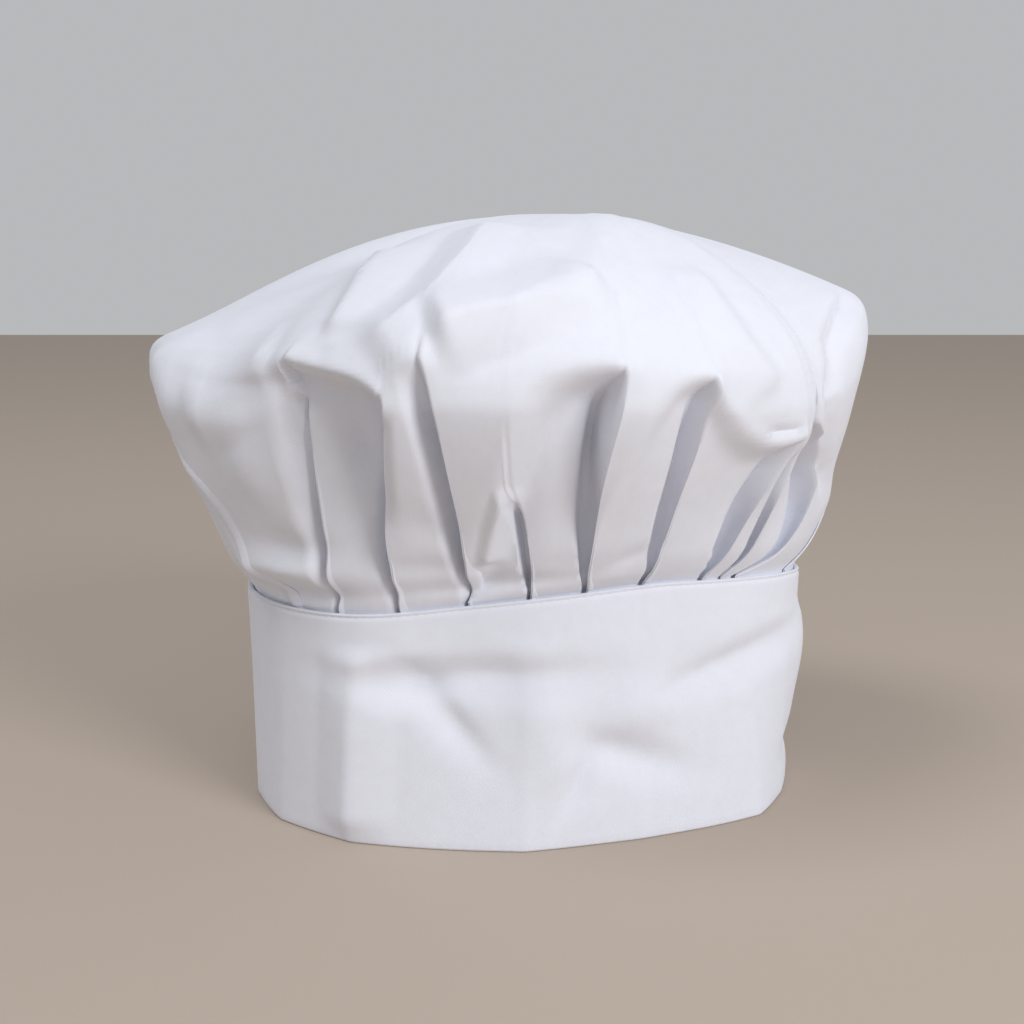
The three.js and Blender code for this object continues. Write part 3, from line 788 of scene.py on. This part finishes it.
@dataclass
class Crown:
    """The pleated, puffed crown: one round cloth. Sizes in mm, directions in degrees, levels from 0 at
    the seam through 1 at the rim to 2 at the top. A pair is where a change starts and where it ends."""

    band: Headband
    top: tuple[float, float, float] = (12.0, 20.0, 213.0)
    cloth: float = 0.7
    gap: float = 0.3
    tuck: float = 6.5
    edge_drop: float = 0.8
    seam_inset: float = 2.5
    inset_fades: tuple[float, float] = (0, 0.2)
    rim_starts: tuple[float, float] = (0.5, 0.9)
    rim_ends: tuple[float, float] = (1.3, 1.7)
    rim_taps: int = 9
    hollow_grows: tuple[float, float] = (0, 0.9)
    lip_width: float = 0.035
    lip_above: float = 0.02
    lip_fades: tuple[float, float] = (1.0, 0.93)
    level_per_degree: float = 45.0
    slit_foot: float = 0.4
    slit_grows: tuple[float, float] = (0, 0.3)
    slit_closes: tuple[float, float] = (0.72, 1)
    slit_wall: tuple[float, float] = (0.3, 1)
    slit_foot_width: float = 0.25
    slit_widens: tuple[float, float] = (0, 0.45)
    slit_most: float = 40.0
    turn_power: float = 1.5
    turn_grows: tuple[float, float] = (0.4, 0.65)
    turn_fades: tuple[float, float] = (0.9, 1.0)
    under: float = 4.6
    under_reach: float = 100.0
    under_most: float = 0.45
    under_fades: tuple[float, float] = (0.3, 0.8)
    fold_lip: float = 0.25
    fold_lip_gain: float = 1.1
    fold_lip_most: float = 0.3
    fold_lip_grows: tuple[float, float] = (0.5, 1.0)
    peak_angle: float = 4.0
    peak_level: float = 0.07
    crease_power: float = 1.15
    crease_end: float = 0.12
    crease_least: float = 0.15
    probe: float = 0.02
    probe_angle: float = 1.0
    front_columns: int = 20
    back_columns: int = 7
    column_evenness: float = 0.45
    easing: int = 2
    wall_rows: int = 72
    dome_rows: int = 24
    wall_start: float = 0.012
    wall_levels: float = 1.13
    dome_start: float = 1.142
    dome_levels: float = 0.83
    row_shift: float = 0.06
    row_shift_share: float = 0.6
    cloth_radius: float = 236.0
    sharp: float = 60.0

    def pleats(self) -> list[Pleat]:
        """Every pleat round the hat: the front's own, then even ones round the back."""
        first, last = FRONT_PLEATS[0], FRONT_PLEATS[-1]
        every = list(FRONT_PLEATS)
        for index in range(BACK_PLEAT_COUNT):
            share = (index + 1) / (BACK_PLEAT_COUNT + 1)
            foot, waist, tip = (
                getattr(last, key) * (1 - share) + (getattr(first, key) + TURN) * share
                for key in ("foot", "waist", "tip")
            )
            every.append(BACK_PLEAT._replace(foot=foot, waist=waist, tip=tip))
        return every

    def hollows(self) -> list[Hollow]:
        """Every hollow round the hat: the front's own, then one left of each back pleat."""
        front = len(FRONT_PLEATS)
        return list(HOLLOWS) + [
            BACK_HOLLOW._replace(right=front + index, left=front + index - 1)
            for index in range(BACK_PLEAT_COUNT)
        ]

    def line(self, pleat: Pleat, level: Array) -> Array:
        """Direction of a pleat's line at each level."""
        t = np.clip(level / pleat.rise, 0, 1)
        return (
            pleat.foot * (1 - t) * (1 - 2 * t)
            + 4 * pleat.waist * t * (1 - t)
            + pleat.tip * t * (2 * t - 1)
        )

    def plain_form(self, angle: Array, level: Array) -> Array:
        """The crown without pleats: its wall up to level 1, then the dome to its top at level 2."""
        wall = np.clip(level, 0, 1)
        out, up = along(WALL, "out", wall), along(WALL, "up", wall)
        reach = self.band.seam_reach(angle) * (1 - out) + around(RIM, "reach", angle) * out
        height = around(SEAM, "height", angle) * (1 - up) + around(RIM, "height", angle) * up
        point = polar(angle, reach, height)
        inwards = np.clip(level - 1, 0, 1)[..., None]
        plan = point[..., :2] * (1 - inwards) + np.array(self.top[:2]) * inwards
        rise = 1 - (1 - inwards) ** around(RIM, "full", angle)[..., None]
        return np.concatenate([plan, point[..., 2:] * (1 - rise) + self.top[2] * rise], -1)

    def form(self, angle: Array, level: Array) -> Array:
        """The crown without pleats, its turn at the rim rolled over."""
        near_rim = smooth(*self.rim_starts, level) * (1 - smooth(*self.rim_ends, level))
        soft = around(RIM, "soft", angle) * near_rim
        taps = np.linspace(-1, 1, self.rim_taps)
        return sum(self.plain_form(angle, level + tap * soft) for tap in taps) / len(taps)

    def normal(self, angle: Array, level: Array) -> Array:
        """Outward direction of the unpleated crown."""
        up = self.form(angle, level + self.probe) - self.form(angle, level - self.probe)
        round_way = self.form(angle + self.probe_angle, level) - self.form(angle - self.probe_angle, level)
        return unit(np.cross(round_way, up))

    def hollow_depth(self, angle: Array, level: Array) -> Array:
        """How far the cloth between the pleats is sunk, less the lips of the brows, in mm."""
        pleats = self.pleats()
        sunk, lips = np.zeros_like(angle), np.zeros_like(angle)
        for hollow in self.hollows():
            right = self.line(pleats[hollow.right], level)
            span = (right - self.line(pleats[hollow.left], level)) % TURN
            far = turned(right - angle) / span
            inside = (far > -HAIR) & (far <= 1)
            far = np.clip(far, 0, 1)
            brow = even_curve(hollow.brow, far)
            climb = even_curve(hollow.brow, far + self.probe) - even_curve(hollow.brow, far - self.probe)
            climb = climb / (2 * self.probe)
            slant = np.hypot(1, climb * self.level_per_degree / span)
            slope = hollow.floor + (1 - hollow.floor) * (1 - far) ** hollow.power
            over = (level - brow) / (hollow.turn * slant)
            grown = smooth(*self.hollow_grows, level / brow)
            deep = hollow.depth * slope * grown * (1 - smooth(-0.5, 0.5, over))
            past = (level - brow - self.lip_above) / (self.lip_width * slant)
            lip = hollow.lip * np.exp(-(past**2)) * smooth(*self.lip_fades, far)
            sunk = np.where(inside, np.maximum(sunk, deep), sunk)
            lips = np.where(inside, np.maximum(lips, lip), lips)
        return sunk - lips

    def slit_depth(self, angle: Array, level: Array, reach: Array) -> Array:
        """How far the cloth beside the lines is rolled in, in mm.

        Args:
            angle: directions.
            level: levels.
            reach: the form's own reach there in mm.

        Returns:
            The depth.
        """
        total = np.zeros_like(angle)
        for pleat in self.pleats():
            off = turned(angle - self.line(pleat, level))
            share = level / pleat.rise
            widened = self.slit_foot_width + (1 - self.slit_foot_width) * smooth(*self.slit_widens, share)
            left = np.radians(np.maximum(-off, 0)) * reach / (pleat.width * widened)
            beside = (off <= HAIR) & (off > -self.slit_most)
            grown = self.slit_foot + (1 - self.slit_foot) * smooth(*self.slit_grows, share)
            deep = pleat.slit * grown * (1 - smooth(*self.slit_closes, share))
            total += deep * np.where(beside, 1 - smooth(*self.slit_wall, left), 0)
            over = (off > HAIR) & (off < self.slit_most)
            edge = (1 - np.clip(off / pleat.turn_width, 0, 1)) ** self.turn_power
            turned_in = smooth(*self.turn_grows, share) * (1 - smooth(*self.turn_fades, share))
            total += pleat.turned_in * turned_in * np.where(over, edge, 0)
        return total

    def dented(self, angle: Array, level: Array) -> Array:
        """How far the soft dents of the wall go in, in mm."""
        total = self.seam_inset * (1 - smooth(*self.inset_fades, level))
        for dent in DENTS:
            across = turned(angle - dent.angle)
            over = level - dent.level - dent.climb * across
            total = total + dent.depth * np.exp(-((across / dent.wide) ** 2) - (over / dent.tall) ** 2)
        return total

    def peaks(self, angle: Array, level: Array) -> Array:
        """How far the tips of the pleats stand out, in mm."""
        out = np.zeros_like(angle)
        for pleat in self.pleats():
            across = turned(angle - pleat.tip) / self.peak_angle
            over = (level - pleat.rise) / self.peak_level
            out += pleat.peak * np.exp(-np.hypot(across, over))
        return out

    def crease_height(self, crease: Crease, points: Array) -> Array:
        """How far one crease lifts the cloth at each point, in mm.

        Args:
            crease: the crease.
            points: the crown's points in mm.

        Returns:
            The lift.
        """
        places = np.array(crease.path)
        line = self.form(places[:, 0], places[:, 1])
        normals = self.normal(places[:, 0], places[:, 1])
        steps = np.linalg.norm(np.diff(line, axis=0), axis=1)
        length = steps.sum()
        best = np.full(points.shape[:-1], np.inf)
        tent = np.zeros(points.shape[:-1])
        before = 0.0
        for index, step in enumerate(steps):
            way = (line[index + 1] - line[index]) / step
            offset = points - line[index]
            run = np.clip(offset @ way, 0, step)
            near = offset - run[..., None] * way
            side = unit(np.cross(normals[index], way))
            across = near @ side
            distance = np.linalg.norm(near, axis=-1)
            width = np.where(across > 0, crease.left, crease.right)
            share = (before + run) / length
            fade = smooth(0, self.crease_end, share) * (1 - smooth(1 - self.crease_end, 1, share))
            full = self.crease_least + (1 - self.crease_least) * fade
            lift = np.clip(1 - distance / width, 0, 1) ** self.crease_power * full
            closer = distance < best
            tent = np.where(closer, lift, tent)
            best = np.where(closer, distance, best)
            before += step
        return crease.height * tent

    def stations(self, level: Array) -> tuple[Array, Array]:
        """Where the columns lie at each level.

        Args:
            level: the level of each row.

        Returns:
            Directions and depths in mm under the form, each by row and column.
        """
        pleats = self.pleats()
        lines = [self.line(pleat, level) for pleat in pleats]
        angles, blends = [], []
        for index, pleat in enumerate(pleats):
            line = lines[index]
            span = (lines[(index + 1) % len(pleats)] - line) % TURN
            share = level / pleat.rise
            hidden = np.degrees(self.under / self.under_reach) * (1 - smooth(*self.under_fades, share))
            hidden = np.minimum(hidden, span * self.under_most)
            lip = self.fold_lip + self.fold_lip_gain * smooth(*self.fold_lip_grows, share)
            lip = np.minimum(lip, span * self.fold_lip_most)
            for step in FOLD_TURN:
                angles.append(line + hidden * step.hidden + lip * step.opened)
                blends.append((line, line + lip, step.deep))
            count = self.front_columns if index < len(FRONT_PLEATS) - 1 else self.back_columns
            even = np.linspace(0, 1, count + 1)[1:-1]
            crowded = 0.5 - 0.5 * np.cos(math.pi * even)
            for share_of_panel in even * self.column_evenness + (1 - self.column_evenness) * crowded:
                angles.append(line + lip + (span - lip) * share_of_panel)
                blends.append(None)
        rows = np.stack(angles, -1)
        form = self.form(rows, np.broadcast_to(level[:, None], rows.shape))
        reach = np.linalg.norm(form[..., :2], axis=-1)
        sunk, pressed = [], []
        for column, blend in enumerate(blends):
            ends = ((rows[:, column], 1.0),)
            if blend is not None:
                under, beside, deep = blend
                ends = ((under, 1 - deep), (beside, deep))
            sunk.append(sum(share * self.hollow_depth(angle, level) for angle, share in ends))
            pressed.append(sum(
                share * (self.slit_depth(angle, level, reach[:, column]) + self.dented(angle, level))
                for angle, share in ends
            ))
        return rows, self.eased(np.stack(sunk, -1), blends) + np.stack(pressed, -1)

    def eased(self, depths: Array, blends: list[tuple[Array, Array, float] | None]) -> Array:
        """Depths made even with their neighbours, but not across the folds.

        Args:
            depths: depths by row and column.
            blends: None for a column of open cloth.

        Returns:
            The eased depths.
        """
        free = np.array([blend is None for blend in blends])
        both = free & np.roll(free, 1) & np.roll(free, -1)
        for _ in range(self.easing):
            depths[1:-1] = 0.25 * depths[:-2] + 0.5 * depths[1:-1] + 0.25 * depths[2:]
            across = 0.25 * np.roll(depths, 1, 1) + 0.5 * depths + 0.25 * np.roll(depths, -1, 1)
            depths = np.where(both, across, depths)
        return depths

    def levels(self) -> Array:
        """The level of each row, closest together at the seam and round the brows."""
        wall = np.linspace(0, 1, self.wall_rows)
        wall = wall - self.row_shift * np.sin(2 * math.pi * wall) * self.row_shift_share
        dome = np.linspace(0, 1, self.dome_rows + 1)[1:]
        return np.concatenate([
            self.wall_start + self.wall_levels * wall, self.dome_start + self.dome_levels * dome,
        ])

    def build(self) -> bpy.types.Object:
        """The crown as one round cloth, pleated and tucked into the band."""
        levels = self.levels()
        angles, depths = self.stations(levels)
        rows = np.broadcast_to(levels[:, None], angles.shape)
        outward = polar(angles, np.ones_like(angles), np.zeros_like(angles))
        plain = self.form(angles, rows)
        lift = sum(self.crease_height(crease, plain) for crease in CREASES)
        points = plain + self.normal(angles, rows) * lift[..., None]
        points = points + outward * (self.peaks(angles, rows) - depths)[..., None]
        collar = []
        foot_angles, foot_depths = angles[0], depths[0]
        top = around(SEAM, "height", foot_angles)
        inset = np.full_like(top, self.band.wall + self.gap)
        for drop in (self.tuck, self.tuck / 2, self.edge_drop, -self.gap):
            flat_band = self.band.point(foot_angles, np.minimum(1 - drop / top, 1), inset)
            flat_band[..., 2] = top - drop
            collar.append(flat_band - outward[0] * (foot_depths - foot_depths.min())[:, None])
        rings = np.concatenate([np.stack(collar), points])
        tip = np.array([self.top])
        count = rings.shape[0] * rings.shape[1]
        columns = rings.shape[1]
        faces = grid_faces(rings.shape[0], columns, closed_rows=False)
        last = count - columns
        faces += [(last + column, last + (column + 1) % columns, count) for column in range(columns)]
        points = np.concatenate([rings.reshape(-1, 3), tip])
        piece = mesh_object("crown_cloth", PLACING.metres(points), faces)
        lay_uv(piece, self.flat_cloth(rings) * MM)
        wall = piece.modifiers.new("cloth", "SOLIDIFY")
        wall.thickness = self.cloth * MM
        wall.offset = -1.0
        apply_modifiers(piece)
        shade_smooth(piece, self.sharp)
        return piece

    def flat_cloth(self, rings: Array) -> Array:
        """Where each point lies in the flat round cloth, in mm.

        Args:
            rings: the crown's points by row and column, from the tucked edge up.

        Returns:
            Flat places, with the top's own last.
        """
        steps = np.linalg.norm(np.diff(rings, axis=0), axis=2).mean(axis=1)
        radius = np.concatenate([[0.0], np.cumsum(steps)])
        radius = self.cloth_radius * (1 - radius / (radius[-1] + steps[-1]))
        girth = np.linspace(0, 2 * math.pi, rings.shape[1], endpoint=False)
        flat = np.stack([radius[:, None] * np.sin(girth), -radius[:, None] * np.cos(girth)], -1)
        return np.concatenate([flat.reshape(-1, 2), np.zeros((1, 2))])

    def dress(self, piece: bpy.types.Object, finish: ClothFinish) -> None:
        """Gives the crown its cloth, its body and its place in the frame.

        Args:
            piece: the crown's object.
            finish: its cloth.
        """
        piece.data.materials.append(finish.material())
        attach(piece, "root")
        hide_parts("crown")


class Lamp(NamedTuple):
    """A soft square light: where it stands in metres, its power in watts and its colour."""

    name: str
    place: tuple[float, float, float]
    watts: float
    colour: tuple[float, float, float]


LAMPS = (
    Lamp("front", (1.07, -1.28, 0.84), 16.2, (0.985, 0.985, 1.0)),
    Lamp("top", (-0.6, -0.42, 1.78), 8, (0.98, 0.98, 1.0)),
)


@dataclass
class Studio:
    """Camera, pale floor and backdrop, and soft lights. Sizes in metres."""

    eye: tuple[float, float, float] = (-0.0002, -0.5548, 0.2)
    tilt_down: float = 10.0
    focal_pixels: float = 1490.0
    image_pixels: float = 1024.0
    sensor: float = 36.0
    clip_start: float = 0.01
    floor_size: float = 6.0
    floor_colour: tuple[float, float, float] = (0.5, 0.42, 0.35)
    floor_roughness: float = 0.9
    lamp_aim: tuple[float, float, float] = (0, 0, 0.12)
    lamp_side: float = 0.7
    room_colour: tuple[float, float, float] = (0.48, 0.486, 0.5)

    def camera(self) -> bpy.types.Object:
        """The camera at the hat's front, a little above it."""
        data = bpy.data.cameras.new("camera")
        data.sensor_width = self.sensor
        data.lens = self.focal_pixels / self.image_pixels * self.sensor
        data.clip_start = self.clip_start
        camera = bpy.data.objects.new("camera", data)
        camera.location = self.eye
        camera.rotation_euler = (math.radians(90 - self.tilt_down), 0, 0)
        bpy.context.scene.collection.objects.link(camera)
        bpy.context.scene.camera = camera
        return camera

    def floor(self) -> bpy.types.Object:
        """A plain pale floor."""
        bpy.ops.object.select_all(action="DESELECT")
        bpy.ops.mesh.primitive_plane_add(size=self.floor_size, location=(0, 0, 0))
        floor = bpy.context.active_object
        floor.name = "floor"
        material = bpy.data.materials.new("floor")
        material.use_nodes = True
        shader = material.node_tree.nodes["Principled BSDF"]
        shader.inputs["Base Color"].default_value = (*self.floor_colour, 1)
        shader.inputs["Roughness"].default_value = self.floor_roughness
        floor.data.materials.append(material)
        return floor

    def light(self, lamp: Lamp) -> None:
        """Hangs a soft square light, turned to the hat."""
        data = bpy.data.lights.new(lamp.name, "AREA")
        data.shape = "SQUARE"
        data.size = self.lamp_side
        data.energy = lamp.watts
        data.color = lamp.colour
        hung = bpy.data.objects.new(lamp.name, data)
        hung.location = lamp.place
        way = np.array(self.lamp_aim) - np.array(lamp.place)
        flat = math.hypot(way[0], way[1])
        hung.rotation_euler = (math.atan2(flat, -way[2]), 0, math.atan2(way[1], way[0]) - math.pi / 2)
        bpy.context.scene.collection.objects.link(hung)

    def lights(self) -> None:
        """Soft light from the front right and from above on the left, in a pale room."""
        for lamp in LAMPS:
            self.light(lamp)
        world = bpy.data.worlds.new("room")
        world.use_nodes = True
        room = world.node_tree.nodes["Background"]
        room.inputs["Color"].default_value = (*self.room_colour, 1)
        room.inputs["Strength"].default_value = 1.0
        bpy.context.scene.world = world
        bpy.context.scene.view_settings.view_transform = "Standard"

    def build(self) -> None:
        """Sets up the whole studio."""
        self.camera()
        self.floor()
        self.lights()


def report(piece: bpy.types.Object) -> None:
    """Logs a piece's name and size."""
    LOG.info("%s: %d triangles", piece.name, sum(len(face.vertices) - 2 for face in piece.data.polygons))


def main() -> None:
    """Builds the hat and its studio."""
    logging.basicConfig(level=logging.INFO)
    Studio().build()
    band = Headband()
    band_piece = band.build()
    band.dress(band_piece, ClothFinish(slot="band_cloth"))
    stitch = Topstitch(band)
    stitch_piece = stitch.build()
    stitch.dress(stitch_piece, ThreadFinish(slot="band_cloth"))
    crown = Crown(band)
    crown_piece = crown.build()
    crown.dress(crown_piece, ClothFinish(slot="crown_cloth"))
    for piece in (band_piece, stitch_piece, crown_piece):
        report(piece)


if __name__ == "__main__":
    main()
